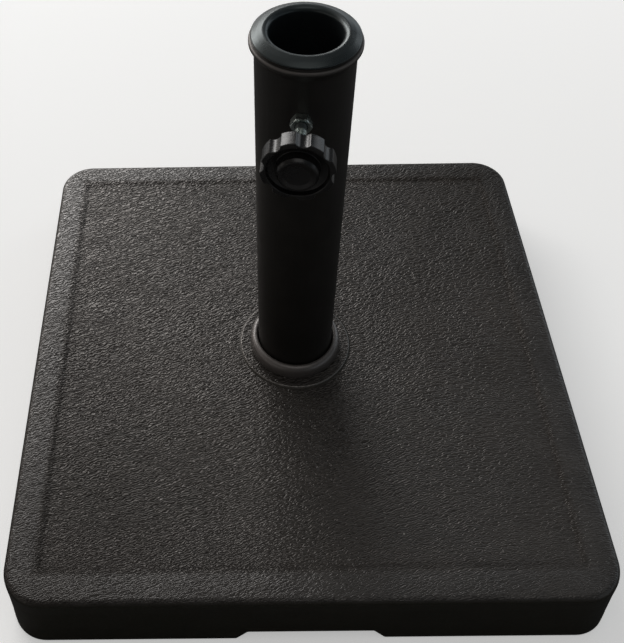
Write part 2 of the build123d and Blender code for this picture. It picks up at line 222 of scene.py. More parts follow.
# ------------------------------------------------------------------ material helpers
class Nodes:
    """A small wrapper for building node trees."""

    def __init__(self, name):
        self.mat = bpy.data.materials.new(name)
        self.mat.use_nodes = True
        self.t = self.mat.node_tree
        self.t.nodes.clear()
        self.out = self.t.nodes.new("ShaderNodeOutputMaterial")
        self.b = self.t.nodes.new("ShaderNodeBsdfPrincipled")
        self.t.links.new(self.b.outputs[0], self.out.inputs[0])
        self.coords = self.t.nodes.new("ShaderNodeTexCoord")

    def n(self, kind, **settings):
        node = self.t.nodes.new(kind)
        for k, v in settings.items():
            setattr(node, k, v)
        return node

    def link(self, a, b):
        self.t.links.new(a, b)

    def put(self, sock, value):
        if hasattr(value, "is_output") or isinstance(value, bpy.types.NodeSocket):
            self.link(value, sock)
        else:
            sock.default_value = value

    def mapping(self, vec, scale=(1, 1, 1), rot=(0, 0, 0), loc=(0, 0, 0)):
        m = self.n("ShaderNodeMapping")
        self.link(vec, m.inputs["Vector"])
        m.inputs["Scale"].default_value = scale
        m.inputs["Rotation"].default_value = rot
        m.inputs["Location"].default_value = loc
        return m.outputs[0]

    def noise(self, vec, scale, detail=2.0, rough=0.5, distortion=0.0):
        x = self.n("ShaderNodeTexNoise")
        self.link(vec, x.inputs["Vector"])
        x.inputs["Scale"].default_value = scale
        x.inputs["Detail"].default_value = detail
        x.inputs["Roughness"].default_value = rough
        x.inputs["Distortion"].default_value = distortion
        return x.outputs["Fac"]

    def noise_colour(self, vec, scale, detail=2.0):
        x = self.n("ShaderNodeTexNoise")
        self.link(vec, x.inputs["Vector"])
        x.inputs["Scale"].default_value = scale
        x.inputs["Detail"].default_value = detail
        return x.outputs["Color"]

    def math(self, op, a, b=0.0, c=None, clamp=False):
        x = self.n("ShaderNodeMath", operation=op, use_clamp=clamp)
        self.put(x.inputs[0], a)
        self.put(x.inputs[1], b)
        if c is not None:
            self.put(x.inputs[2], c)
        return x.outputs[0]

    def vmath(self, op, a, b=None, scale=None):
        x = self.n("ShaderNodeVectorMath", operation=op)
        self.put(x.inputs[0], a)
        if b is not None:
            self.put(x.inputs[1], b)
        if scale is not None:
            self.put(x.inputs["Scale"], scale)
        return x.outputs[0]

    def remap(self, v, a, b, c=0.0, d=1.0, smooth=False):
        x = self.n("ShaderNodeMapRange")
        if smooth:
            x.interpolation_type = "SMOOTHSTEP"
        self.put(x.inputs["Value"], v)
        for name, val in (("From Min", a), ("From Max", b), ("To Min", c), ("To Max", d)):
            self.put(x.inputs[name], val)
        return x.outputs[0]

    def mix(self, fac, a, b):
        x = self.n("ShaderNodeMix", data_type="RGBA")
        self.put(x.inputs[0], fac)
        self.put(x.inputs[6], a if not isinstance(a, tuple) else (*a, 1.0))
        self.put(x.inputs[7], b if not isinstance(b, tuple) else (*b, 1.0))
        return x.outputs[2]

    def attr(self, name):
        x = self.n("ShaderNodeAttribute")
        x.attribute_name = name
        return x.outputs["Fac"]

    def sep(self, vec):
        x = self.n("ShaderNodeSeparateXYZ")
        self.link(vec, x.inputs[0])
        return x.outputs

    def bump(self, height, distance, strength=1.0, normal=None):
        x = self.n("ShaderNodeBump")
        self.put(x.inputs["Height"], height)
        x.inputs["Distance"].default_value = distance
        self.put(x.inputs["Strength"], strength)
        if normal is not None:
            self.link(normal, x.inputs["Normal"])
        return x.outputs[0]

    def set(self, **values):
        names = {
            "colour": "Base Color",
            "rough": "Roughness",
            "metal": "Metallic",
            "spec": "Specular IOR Level",
            "coat": "Coat Weight",
            "coat_rough": "Coat Roughness",
            "normal": "Normal",
            "sheen": "Sheen Weight",
            "ior": "IOR",
        }
        for k, v in values.items():
            s = self.b.inputs[names[k]]
            if isinstance(v, tuple) and len(v) == 3:
                v = (*v, 1.0)
            self.put(s, v)
        return self.mat


WRINKLE = 2.35  # mm from one wrinkle of the grain to the next


def shell_material():
    m = Nodes("shell_grain")
    obj = m.vmath("SCALE", m.coords.outputs["Object"], scale=1000.0)  # mm
    # the grain: wrinkles that run aslant over the plate and wander
    wander = m.vmath("SUBTRACT", m.noise_colour(m.mapping(obj, (0.022,) * 3), 1.0, 1.0), (0.5, 0.5, 0.5))
    wander = m.vmath("SCALE", wander, scale=9.0)
    p = m.vmath("ADD", obj, wander)
    fine_wander = m.vmath("SUBTRACT", m.noise_colour(m.mapping(p, (0.16,) * 3), 1.0, 1.0), (0.5, 0.5, 0.5))
    p = m.vmath("ADD", p, m.vmath("SCALE", fine_wander, scale=1.3))
    # it is finer towards the front
    pos = m.sep(obj)
    finer = m.math("MULTIPLY_ADD", m.math("MAXIMUM", m.math("MULTIPLY", pos[1], -1.0), 0.0), 0.0015, 1.0)
    stretch = m.n("ShaderNodeCombineXYZ")
    for i in range(3):
        m.link(finer, stretch.inputs[i])
    rot = m.vmath("MULTIPLY", m.mapping(p, (1, 1, 1), (0, 0, math.radians(-24))), stretch.outputs[0])
    # each wrinkle is a wave across the grain whose phase is pushed about, so that wrinkles end, fork and join
    phase = m.math("MULTIPLY", m.math("SUBTRACT", m.noise(m.mapping(rot, (1 / 4.3, 1 / 2.9, 1 / 2.9)), 1.0, 0.8, 0.5), 0.5), 14.5)
    # the wrinkles lie a little closer together towards the front
    lane = m.math("SUBTRACT", m.math("MULTIPLY", m.sep(rot)[1], 0.972), m.math("MULTIPLY", m.math("MULTIPLY", pos[1], pos[1]), 0.00036))
    # and swing round towards the front edge's direction in the front right quarter
    front = m.remap(pos[1], 120.0, -20.0, 0.0, 1.0, smooth=True)
    over = m.math("MAXIMUM", m.math("SUBTRACT", pos[0], 70.0), 0.0)
    lane = m.math("ADD", lane, m.math("MULTIPLY", m.math("MULTIPLY", over, over), m.math("MULTIPLY", front, 0.0018)))
    across = m.math("MULTIPLY", lane, 2 * math.pi / WRINKLE)
    wave = m.math("SINE", m.math("ADD", across, phase))
    ridge = m.math("POWER", m.remap(wave, -1.0, 1.0, 0.0, 1.0), 0.62)
    # short ridges: a second, finer set crosses the first here and there
    phase2 = m.math("MULTIPLY", m.math("SUBTRACT", m.noise(m.mapping(rot, (1 / 3.2, 1 / 2.6, 1 / 2.6), loc=(7.7, 2.3, 0)), 1.0, 0.8, 0.5), 0.5), 13.0)
    wave2 = m.math("SINE", m.math("ADD", m.math("ADD", m.math("MULTIPLY", m.sep(rot)[0], 2 * math.pi / 4.4), m.math("MULTIPLY", m.sep(rot)[1], 2 * math.pi / 3.3)), phase2))
    crease = m.math("POWER", m.remap(wave2, -1.0, 1.0, 0.0, 1.0), 0.5)
    fine = m.noise(m.mapping(obj, (1.0,) * 3), 1.0, 2.0, 0.55)
    height = m.math("ADD", m.math("MULTIPLY", ridge, 0.70), m.math("MULTIPLY", crease, 0.30))
    height = m.math("ADD", height, m.math("MULTIPLY", m.math("SUBTRACT", fine, 0.5), 0.12))
    grain = m.attr("grain")
    patch = m.remap(m.noise(m.mapping(obj, (0.012,) * 3), 1.0, 1.0), 0.35, 0.65, 0.8, 1.1)
    # it is crisp at the back left of the plate and worn softer towards the front right, and softer on the rim
    crisp = m.math("MULTIPLY_ADD", m.math("SUBTRACT", pos[1], pos[0]), 0.5 * 0.55 / 210, 0.5)
    crisp = m.remap(crisp, 0.0, 1.0, 0.42, 1.15)
    soft = m.attr("soft")
    crisp = m.math("MULTIPLY", crisp, m.math("SUBTRACT", 1.0, m.math("MULTIPLY", soft, m.remap(pos[0], 0.0, 150.0, 0.35, 0.12))))
    crisp = m.math("MULTIPLY", crisp, m.math("MULTIPLY_ADD", m.math("MULTIPLY", front, m.remap(pos[0], 105.0, 165.0, 0.0, 1.0, smooth=True)), -0.17, 1.0))
    crisp = m.math("MULTIPLY", crisp, finer)
    n1 = m.bump(height, 0.00056, m.math("MULTIPLY", m.math("MULTIPLY", grain, patch), crisp))
    n2 = m.bump(m.noise(m.mapping(obj, (0.55,) * 3), 1.0, 3.0, 0.6), 0.00006, 1.0, n1)
    # colour: dark grey with warm dust patches and painted shade in the creases of the grain, paler on the worn edges
    dust = m.remap(m.noise(m.mapping(obj, (0.020,) * 3), 1.0, 4.0, 0.6), 0.35, 0.72, 0.0, 1.0, smooth=True)
    base = m.mix(dust, (0.0160, 0.0134, 0.0114), (0.0235, 0.0193, 0.0158))
    # painted shade: the creases of the grain are painted near black, more where the grain is crisp
    painted_crease_shade = m.math("MULTIPLY", m.math("SUBTRACT", 1.0, height), m.math("MULTIPLY", m.math("MULTIPLY", grain, crisp), 0.75))
    base = m.mix(m.math("MULTIPLY", painted_crease_shade, 1.05, clamp=True), base, (0.005, 0.0042, 0.0036))
    wear = m.math("MULTIPLY", m.attr("wear"), m.remap(m.noise(m.mapping(obj, (0.06,) * 3), 1.0, 4.0, 0.65), 0.42, 0.62, 0.0, 1.0, smooth=True))
    base = m.mix(m.math("MULTIPLY", wear, 0.45), base, (0.055, 0.051, 0.047))
    # painted highlight: the rounded edge of the raised disc is painted pale, so it reads as a bright arc all round
    lip = m.attr("lip")
    base = m.mix(m.math("MULTIPLY", lip, 0.8), base, (0.115, 0.108, 0.102))
    # a few pale specks of grit
    sp = m.n("ShaderNodeTexVoronoi", feature="F1")
    m.link(m.mapping(obj, (1 / 17.0,) * 3), sp.inputs["Vector"])
    sp.inputs["Scale"].default_value = 1.0
    seed = m.sep(sp.outputs["Color"])
    speck = m.math("MULTIPLY", m.remap(sp.outputs["Distance"], 0.030, 0.042, 1.0, 0.0), m.math("GREATER_THAN", seed[0], 0.90))
    speck = m.math("MULTIPLY", speck, grain)
    base = m.mix(m.math("MULTIPLY", speck, 0.8), base, (0.34, 0.33, 0.30))
    # skirt: smooth and nearly black. The same mix paints a dark shade line at the disc's foot, where the grain value
    # is low
    base = m.mix(grain, (0.0140, 0.0130, 0.0095), base)
    rough = m.remap(m.noise(m.mapping(obj, (0.035,) * 3), 1.0, 3.0), 0.3, 0.7, 0.345, 0.425)
    rough = m.math("SUBTRACT", rough, m.math("MULTIPLY", height, 0.06))
    rough = m.math("ADD", rough, m.math("MULTIPLY", dust, 0.04))
    rough = m.math("SUBTRACT", rough, m.math("MULTIPLY", m.attr("wear"), 0.08))
    # painted reflection colour: the sheen is tinted warm, and cooler on the rim, a stand-in for the colour of the
    # light it reflects
    m.link(m.mix(m.math("MULTIPLY", soft, 0.40), (1.0, 0.94, 0.895), (0.95, 0.975, 1.0)), m.b.inputs["Specular Tint"])
    # the creases hold no light
    open_ = m.remap(painted_crease_shade, 0.10, 0.55, 1.0, 0.26)
    gloss = m.math("MULTIPLY_ADD", soft, 0.04, m.remap(grain, 0.0, 1.0, 0.28, 0.74))
    # painted sheen: the gloss is scaled by place, most at the back left corner and least at the back right one, and
    # lower to the right and to the front
    aslant = m.math("MULTIPLY", pos[0], m.math("MAXIMUM", pos[1], m.math("MULTIPLY", pos[1], 0.56)))
    painted_sheen = m.math("MULTIPLY_ADD", aslant, -0.62 / 40000, 1.0)
    painted_sheen = m.math("MULTIPLY", painted_sheen, m.remap(pos[0], -200.0, 200.0, 1.04, 0.90))
    painted_sheen = m.math("MULTIPLY", painted_sheen, m.remap(pos[1], -200.0, 200.0, 0.86, 1.12))
    gloss = m.math("MULTIPLY", gloss, painted_sheen)
    # painted shade: the sheen is cut along the step, more towards the right, so the step reads as a dark line
    gloss = m.math("MULTIPLY", gloss, m.math("SUBTRACT", 1.0, m.math("MULTIPLY", m.attr("step"), m.remap(pos[0], 0.0, 120.0, 0.32, 0.52))))
    # the disc edge's painted highlight also gets more sheen and less roughness
    gloss = m.math("MULTIPLY_ADD", lip, 0.6, m.math("MULTIPLY", open_, gloss))
    rough = m.math("MULTIPLY_ADD", lip, -0.08, rough)
    return m.set(colour=base, rough=rough, normal=n2, spec=gloss)


def smooth_plastic(name, colour, rough, spec=0.5, bump_mm=0.02, wave=1.2, dust=0.0, coat=0.0, streak=0.0, dust_colour=(0.05, 0.045, 0.04), edge=None):
    m = Nodes(name)
    obj = m.vmath("SCALE", m.coords.outputs["Object"], scale=1000.0)
    large = m.noise(m.mapping(obj, (0.03,) * 3), 1.0, 4.0, 0.6)
    fine = m.noise(m.mapping(obj, (1 / wave,) * 3), 1.0, 3.0, 0.6)
    base = m.mix(m.remap(large, 0.35, 0.7, 0.0, 1.0), colour, tuple(c * 1.35 for c in colour))
    if dust:
        d = m.math("MULTIPLY", m.remap(m.noise(m.mapping(obj, (0.09,) * 3), 1.0, 6.0, 0.7), 0.45, 0.75, 0.0, 1.0, smooth=True), dust)
        base = m.mix(d, base, dust_colour)
    r = m.remap(large, 0.3, 0.7, rough - 0.045, rough + 0.045)
    r = m.math("ADD", r, m.remap(fine, 0.3, 0.7, -0.02, 0.02))
    if streak:
        s = m.noise(m.mapping(obj, (0.5, 0.5, 0.012)), 1.0, 4.0, 0.6)
        r = m.math("ADD", r, m.remap(s, 0.35, 0.7, -streak, streak))
    # painted highlight: where the edge attribute is set, the colour is paler and the sheen stronger
    if edge:
        base = m.mix(m.math("MULTIPLY", m.attr("edge"), 0.75), base, edge)
        spec = m.math("MULTIPLY_ADD", m.attr("edge"), 0.5, spec)
    n = m.bump(fine, bump_mm * MM, 1.0)
    n = m.bump(m.noise(m.mapping(obj, (0.11,) * 3), 1.0, 2.0), bump_mm * 4 * MM, 0.6, n)
    return m.set(colour=base, rough=r, spec=spec, normal=n, coat=coat, coat_rough=0.25)


def tinted(mat, colour):
    next(n for n in mat.node_tree.nodes if n.type == "BSDF_PRINCIPLED").inputs["Specular Tint"].default_value = (*colour, 1.0)
    return mat


def zinc_material(name="zinc_plate", greasy=False):
    m = Nodes(name)
    obj = m.vmath("SCALE", m.coords.outputs["Object"], scale=1000.0)
    spangle = m.noise(m.mapping(obj, (0.55,) * 3), 1.0, 5.0, 0.65)
    stain = m.remap(m.noise(m.mapping(obj, (0.22,) * 3), 1.0, 4.0, 0.6), 0.42, 0.68, 0.0, 1.0, smooth=True)
    base = m.mix(m.remap(spangle, 0.3, 0.7, 0.0, 1.0), (0.42, 0.49, 0.48), (0.66, 0.73, 0.69))
    base = m.mix(m.math("MULTIPLY", stain, 0.55), base, (0.22, 0.24, 0.21))
    r = m.remap(spangle, 0.25, 0.75, 0.14, 0.28)
    r = m.math("ADD", r, m.math("MULTIPLY", stain, 0.18))
    if greasy:
        # old grease gathers on the thread where it leaves the bush
        sep = m.sep(obj)
        along = m.math("ADD", m.math("MULTIPLY", sep[0], -INWARD.x), m.math("MULTIPLY", sep[1], -INWARD.y))
        along = m.math("ADD", along, m.remap(m.noise(m.mapping(obj, (0.5,) * 3), 1.0, 3.0), 0.3, 0.7, -0.8, 0.8))
        grease = m.remap(along, 43.4, 45.4, 0.88, 0.0, smooth=True)
        base = m.mix(grease, base, (0.030, 0.034, 0.036))
        r = m.math("ADD", r, m.math("MULTIPLY", grease, 0.22))
    n = m.bump(m.noise(m.mapping(obj, (2.4,) * 3), 1.0, 4.0, 0.6), 0.00003, 1.0)
    return m.set(colour=base, metal=1.0, rough=r, normal=n)


def concrete_material():
    m = Nodes("cast_concrete")
    obj = m.vmath("SCALE", m.coords.outputs["Object"], scale=1000.0)
    grit = m.noise(m.mapping(obj, (0.35,) * 3), 1.0, 8.0, 0.7)
    blot = m.noise(m.mapping(obj, (0.02,) * 3), 1.0, 4.0, 0.6)
    base = m.mix(m.remap(blot, 0.3, 0.7, 0.0, 1.0), (0.33, 0.32, 0.30), (0.47, 0.455, 0.43))
    base = m.mix(m.remap(grit, 0.4, 0.75, 0.0, 0.6), base, (0.20, 0.19, 0.18))
    vor = m.n("ShaderNodeTexVoronoi", feature="F1")
    m.link(m.mapping(obj, (0.22,) * 3), vor.inputs["Vector"])
    vor.inputs["Scale"].default_value = 1.0
    pit = m.remap(vor.outputs["Distance"], 0.05, 0.28, 0.0, 1.0, smooth=True)
    n = m.bump(pit, 0.0005, 0.7)
    n = m.bump(grit, 0.0004, 0.9, n)
    return m.set(colour=base, rough=0.9, normal=n, spec=0.3)


def rubber_material():
    m = Nodes("foot_rubber_look")
    obj = m.vmath("SCALE", m.coords.outputs["Object"], scale=1000.0)
    fine = m.noise(m.mapping(obj, (1.4,) * 3), 1.0, 4.0, 0.65)
    base = m.mix(m.remap(fine, 0.35, 0.7, 0.0, 1.0), (0.014, 0.014, 0.014), (0.026, 0.025, 0.024))
    return m.set(colour=base, rough=m.remap(fine, 0.3, 0.7, 0.68, 0.82), normal=m.bump(fine, 0.00006), spec=0.35)


MATS = {
    "shell_plastic": shell_material(),
    "tray_plastic": smooth_plastic("tray_look", (0.016, 0.0155, 0.015), 0.56, 0.4, 0.05, 1.6, dust=0.5),
    "concrete": concrete_material(),
    "collar_plastic": smooth_plastic("collar_look", (0.0605, 0.0540, 0.0505), 0.35, 1.0, 0.015, 1.4, dust=0.35, dust_colour=(0.07, 0.063, 0.056)),
    "tube_plastic": smooth_plastic("tube_look", (0.0060, 0.0056, 0.0049), 0.46, 0.38, 0.012, 1.4, dust=0.10, streak=0.03, dust_colour=(0.030, 0.027, 0.024), edge=(0.050, 0.045, 0.042)),
    "insert_plastic": smooth_plastic("insert_look", (0.0105, 0.0130, 0.0140), 0.30, 0.54, 0.004, 1.0, dust=0.12, dust_colour=(0.045, 0.044, 0.042)),
    "knob_plastic": smooth_plastic("knob_look", (0.0048, 0.0044, 0.0044), 0.29, 0.43, 0.010, 0.8, dust=0.16, dust_colour=(0.045, 0.040, 0.038)),
    "shoe_nylon": smooth_plastic("shoe_look", (0.50, 0.49, 0.45), 0.45, 0.5, 0.01, 0.8),
    "zinc_steel": zinc_material(),
    "foot_rubber": rubber_material(),
}


# painted reflection colour: the insert's reflections are tinted cool and the collar's and tube's warm, a stand-in for
# the colour of the light they reflect
tinted(MATS["insert_plastic"], (0.86, 0.99, 1.0))
tinted(MATS["collar_plastic"], (1.0, 0.95, 0.93))
tinted(MATS["tube_plastic"], (1.0, 0.94, 0.90))


def finish_piece(ob, slot_name, body, *nodes):
    ob.data.materials.clear()
    ob.data.materials.append(MATS[slot_name])
    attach(ob, body)
    if nodes:
        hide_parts(*nodes)
    return ob


# ------------------------------------------------------------------ top shell
def square_polar(half, r, th):
    """Distance from the centre to a rounded square of that half width and corner radius, at each angle."""
    c, s = np.abs(np.cos(th)), np.abs(np.sin(th))
    hi, lo = np.maximum(c, s), np.minimum(c, s)
    flat = half / hi
    # where the ray meets the straight part the other coordinate is at most half - r
    k = half - r
    arc = lo * flat > k
    b = k * (hi + lo)
    disc = np.maximum(b * b - (2 * k * k - r * r), 0)
    return np.where(arc, b + np.sqrt(disc), flat)


def shell_angles():
    """Angles round the plate, even along the outer edge and closer at the notch flanks and corners."""
    t = [0.0]
    out = []
    y = -46.0
    side = []
    x = 0.0
    stops = []
    while x < 182.5:
        stops.append(x)
        if 39 < x < 57:
            x += 0.75
        else:
            x += 2.6
    stops = np.array(stops)
    th = np.arctan2(stops, HALF_TOP)
    th_corner = np.linspace(math.atan2(182.5, HALF_TOP), math.pi / 4, 13)
    half = np.concatenate([th, th_corner[:-1]])
    quarter = np.concatenate([-half[:0:-1], half, [math.pi / 4]])
    quarter = np.unique(np.round(quarter, 9))
    quarter = quarter[quarter > -math.pi / 4 + 1e-6]
    return np.concatenate([quarter + k * math.pi / 2 for k in range(4)])


def half_at(z):
    return HALF_TOP - DRAFT + DRAFT * (z - SKIRT_Z) / (RIM_Z - SKIRT_Z)


def build_shell():
    th = shell_angles()
    n = len(th)
    c, s = np.cos(th), np.sin(th)
    one = np.ones(n)

    # foot of the skirt, lifted over the four grip notches, with the notch's corners rounded
    side = np.minimum(np.abs(c), np.abs(s)) / np.maximum(np.abs(c), np.abs(s)) * half_at(SKIRT_Z)
    xs = np.linspace(0, 70, 1401)
    zz = np.interp(xs, [0, 43.5, 51.3, 70], [NOTCH_Z, NOTCH_Z, SKIRT_Z, SKIRT_Z])
    kern = np.hanning(61)
    pad = np.pad(zz, 60, mode="edge")
    zz = np.convolve(pad, kern / kern.sum(), "same")[60:-60]
    foot = np.interp(side, xs, zz)

    rings, grain, wear = [], [], []

    def ring(R, Z, g, w=0.0):
        rings.append(np.stack([R * c, R * s, Z * one], 1))
        grain.append(g * one)
        wear.append(w * one)

    hole = 33.2
    # hole wall, from inside up to the disc
    ring(hole, SHELL_IN_Z, 0.0)
    ring(hole, DISC_Z - 0.4, 0.2)
    ring(hole + 0.4, DISC_Z, 0.6)
    for R in np.linspace(35.0, DISC_R - 1.0, 6):
        ring(R, DISC_Z, 1.0)
    for a in np.linspace(0, math.pi / 2, 7):
        ring(DISC_R - 1.1 + 1.1 * math.sin(a), DISC_Z - 1.1 + 1.1 * math.cos(a), 0.55, 0.6)
    # painted shade: the low grain values along the disc's foot give it the skirt's near-black colour and little sheen,
    # a dark line where shade falls
    ring(DISC_R + 0.02, PANEL_Z + 0.30, 0.1)
    for a in np.linspace(0, math.pi / 2, 4)[1:]:
        ring(DISC_R + 1.05 - 1.0 * math.cos(a), PANEL_Z + 0.35 - 0.35 * math.sin(a), 0.05 + 0.25 * math.sin(a) ** 6)
    # panel, from the disc out to the foot of the step
    edge_in = square_polar(PANEL_HALF - 3.0, 4.5, th)
    start = DISC_R + 1.9
    for w in np.linspace(0, 1, 40):
        ring(start + (edge_in - start) * w, PANEL_Z, 1.0)
    # the step: a short soft drop, then the rim goes on rising gently to its crest
    ds = [-2.2, -1.6, -1.1, -0.6, -0.1, 0.4, 0.9, 1.4, 1.9, 2.5, 3.2, 4.0, 5.0, 6.0, 7.2, 8.6, 10.2, 12.0, 13.5, 15.0, 16.5, 18.0, HALF_TOP - EDGE - PANEL_HALF - 0.6]
    for d in ds:
        h = 0.70 * smoothstep(-2.0, 3.2, d) + 0.30 * smoothstep(1.5, 11.5, d)
        h -= SHOULDER * max(0.0, (d - 12.5) / (HALF_TOP - EDGE - PANEL_HALF - 12.5)) ** 2
        r = 4.5 + (CORNER_R - EDGE - 4.5) * max(d, 0) ** 0.8 / (HALF_TOP - EDGE - PANEL_HALF) ** 0.8
        ring(square_polar(PANEL_HALF + d, r, th), PANEL_Z + h * (RIM_Z - PANEL_Z), 1.0, 0.12)
    # rounded outer edge: a touch fuller than a quarter circle
    a0 = math.radians(5.2)
    big = EDGE / (1 - math.sin(a0))
    zc = RIM_Z - SHOULDER - big * math.cos(a0)
    for a in np.linspace(a0, math.pi / 2, 13):
        z = zc + big * math.cos(a)
        d = big * (1 - math.sin(a))
        h = half_at(z) - d + (HALF_TOP - half_at(z)) * 0.0
        g = float(1 - smoothstep(0.55, 1.30, a))
        ring(square_polar(h, CORNER_R - d, th), z, g, 0.9 * math.sin(a) ** 0.5 * (1 if a < 1.2 else 0.6))
    top = zc
    for t in np.linspace(0, 1, 15)[1:]:
        z = top + (foot + 0.8 - top) * t
        rings.append(
            np.stack([square_polar_var(half_at(z), th) * c, square_polar_var(half_at(z), th) * s, z], 1)
        )
        grain.append(0 * one)
        wear.append((0.6 if t > 0.97 else 0.08) * one)
    # bottom edge with a small round each side
    for a in (0.5, 1.0):
        z = foot + 0.8 - 0.8 * math.sin(a * math.pi / 2)
        d = 0.8 - 0.8 * math.cos(a * math.pi / 2)
        R = square_polar_var(half_at(foot) - d, th)
        rings.append(np.stack([R * c, R * s, z], 1))
        grain.append(0 * one)
        wear.append(0.7 * one)
    R = square_polar_var(half_at(foot) - WALL + 0.5, th)
    rings.append(np.stack([R * c, R * s, foot], 1))
    R2 = square_polar_var(half_at(foot) - WALL, th)
    rings.append(np.stack([R2 * c, R2 * s, foot + 0.5], 1))
    grain += [0 * one] * 2
    wear += [0.3 * one] * 2
    for t in np.linspace(0.15, 1, 6):
        z = foot + 0.5 + (SHELL_IN_Z - foot - 0.5) * t
        R = square_polar_var(half_at(z) - WALL, th, inner=True)
        rings.append(np.stack([R * c, R * s, z], 1))
        grain.append(0 * one)
        wear.append(0 * one)
    inner_edge = square_polar_var(half_at(SHELL_IN_Z * one) - WALL, th, inner=True)
    for w in np.linspace(0.2, 0.9, 5):
        ring(inner_edge + (hole - inner_edge) * w, SHELL_IN_Z, 0.0)

    verts, faces = loft(rings)
    # the moulding isn't quite flat: the panel sinks a little and the skirt bows
    x, y, z = verts.T
    rr = np.maximum(np.abs(x), np.abs(y))
    up = smoothstep(48.0, 53.0, z) * smoothstep(0, 60, 200 - rr) * smoothstep(44, 70, np.hypot(x, y))
    dz = 0.16 * smooth_noise(x, y, 58.0, 3) + 0.09 * smooth_noise(x, y, 23.0, 4) - 0.22 * up * np.exp(-((rr - 120) / 60) ** 2)
    verts[:, 2] += up * dz
    bow = smoothstep(8.0, 20.0, z) * smoothstep(50.0, 38.0, z) * smoothstep(200, 204, rr)
    k = 1 - bow * (0.25 + 0.2 * smooth_noise(x + z, y - z, 70.0, 5)) / np.maximum(rr, 1)
    verts[:, 0] *= k
    verts[:, 1] *= k
    ob = make_object("shell", verts, faces, 40)
    add_attribute(ob, "grain", np.concatenate(grain))
    add_attribute(ob, "wear", np.concatenate(wear))
    rad = np.hypot(x, y)
    # marks the disc's rounded edge for its painted highlight
    add_attribute(ob, "lip", ((rad > DISC_R - 0.95) & (rad < DISC_R + 0.005) & (z > PANEL_Z + 0.35)).astype(float))
    # marks the step line whose sheen is cut as painted shade
    add_attribute(ob, "step", np.exp(-(((rr - PANEL_HALF - 0.5) / 2.4) ** 2)) * (z > 40))
    add_attribute(ob, "soft", smoothstep(PANEL_HALF + 2.0, PANEL_HALF + 7.0, rr) * (z > 40))
    return outwards(ob)


def square_polar_var(half, th, inner=False):
    """square_polar with a half width that differs along the ring. The corner radius follows the half width."""
    r = CORNER_R - (HALF_TOP - half)
    c, s = np.abs(np.cos(th)), np.abs(np.sin(th))
    hi, lo = np.maximum(c, s), np.minimum(c, s)
    flat = half / hi
    k = half - r
    arc = lo * flat > k
    b = k * (hi + lo)
    disc = np.maximum(b * b - (2 * k * k - r * r), 0)
    return np.where(arc, b + np.sqrt(disc), flat)


finish_piece(build_shell(), "shell_plastic", "base", "top_shell")


# ------------------------------------------------------------------ collar, tube, insert
def build_collar():
    z0 = TUBE_Z0
    foot = rounded(
        [
            (tube_r(z0) + 0.35, z0),
            (33.0, z0, 0.5),
            (33.0, DISC_Z - 0.25),
            (COLLAR_R - 0.35, DISC_Z - 0.25),
            (COLLAR_R, DISC_Z + 0.15),
        ],
        closed=False,
    )
    inner = tube_r(COLLAR_Z) + 0.8
    crest = inner + 1.5
    out_r, drop = COLLAR_R - 0.15, 5.4
    hump = []
    for a in np.linspace(0, math.pi / 2, 12):
        hump.append(np.array([crest + (out_r - crest) * math.cos(a), COLLAR_Z - drop + drop * math.sin(a)]))
    for a in np.linspace(0, math.pi / 2, 7)[1:]:
        hump.append(np.array([crest - 1.5 * math.sin(a), COLLAR_Z - 1.5 + 1.5 * math.cos(a)]))
    prof = list(foot) + hump + [np.array([tube_r(55) + 0.5, 55.0])]
    return outwards(make_object("collar", *lathe(prof, 160), 50))


finish_piece(build_collar(), "collar_plastic", "base", "socket_sleeve")


def build_tube():
    top = TUBE_TOP
    prof = rounded(
        [
            (25.6, TUBE_Z0, 0.4),
            (tube_r(TUBE_Z0), TUBE_Z0, 0.8),
            (tube_r(100), 100),
            (tube_r(200), 200),
            (tube_r(300), 300),
            (tube_r(top - 9.6), top - 9.6, 4.2),
            (RIM_R - 0.6, top - 4.9, 1.0),
            (RIM_R, top - 3.8, 1.0),
            (RIM_R, top - 1.2, 1.25),
            (35.4, top - 0.75, 0.6),
            (34.7, top, 0.3),
            (34.6, top),
            (34.3, top - 0.25),
            (bore_r(top), top - 0.25, 0.4),
            (bore_r(300), 300),
            (bore_r(150), 150),
        ],
        step_deg=6,
    )
    # the clamp's hole in the wall is cut out with a boolean difference
    verts, faces = lathe(prof, 192)
    ob = make_object("tube", verts, faces, 40)
    outwards(ob)
    cut = bpy.data.meshes.new("wall_hole")
    cv, cf = lathe([(0.01, 20.0), (5.5, 20.0), (5.5, 40.0), (0.01, 40.0)], 48)
    cut_ob = make_object("wall_hole", cv, cf)
    outwards(cut_ob)
    place_on_clamp(cut_ob)
    mod = ob.modifiers.new("hole", "BOOLEAN")
    mod.operation = "DIFFERENCE"
    mod.solver = "EXACT"
    mod.object = cut_ob
    dg = bpy.context.evaluated_depsgraph_get()
    baked = bpy.data.meshes.new_from_object(ob.evaluated_get(dg))
    ob.modifiers.clear()
    ob.data = baked
    for p in ob.data.polygons:
        p.use_smooth = True
    ob.data.set_sharp_from_angle(angle=math.radians(40))
    bpy.data.objects.remove(cut_ob)
    co = np.empty(len(ob.data.vertices) * 3)
    ob.data.vertices.foreach_get("co", co)
    x, y, z = co.reshape(-1, 3).T / MM
    # the rim's rounded outer edge, which gets a painted highlight
    add_attribute(ob, "edge", smoothstep(top - 3.2, top - 1.6, z) * smoothstep(35.6, 36.4, np.hypot(x, y)))
    return ob


def place_on_clamp(ob):
    """Turns a piece built with +Z out of the knob's face and +Y up into place."""
    out = -INWARD
    right = Vector((0, 0, 1)).cross(out).normalized()
    m = Matrix((right, Vector((0, 0, 1)), out)).transposed().to_4x4()
    m.translation = Vector((0, 0, CLAMP_Z * MM))
    ob.data.transform(m)
    ob.data.update()
    return ob


finish_piece(build_tube(), "tube_plastic", "base", "upright_tube")


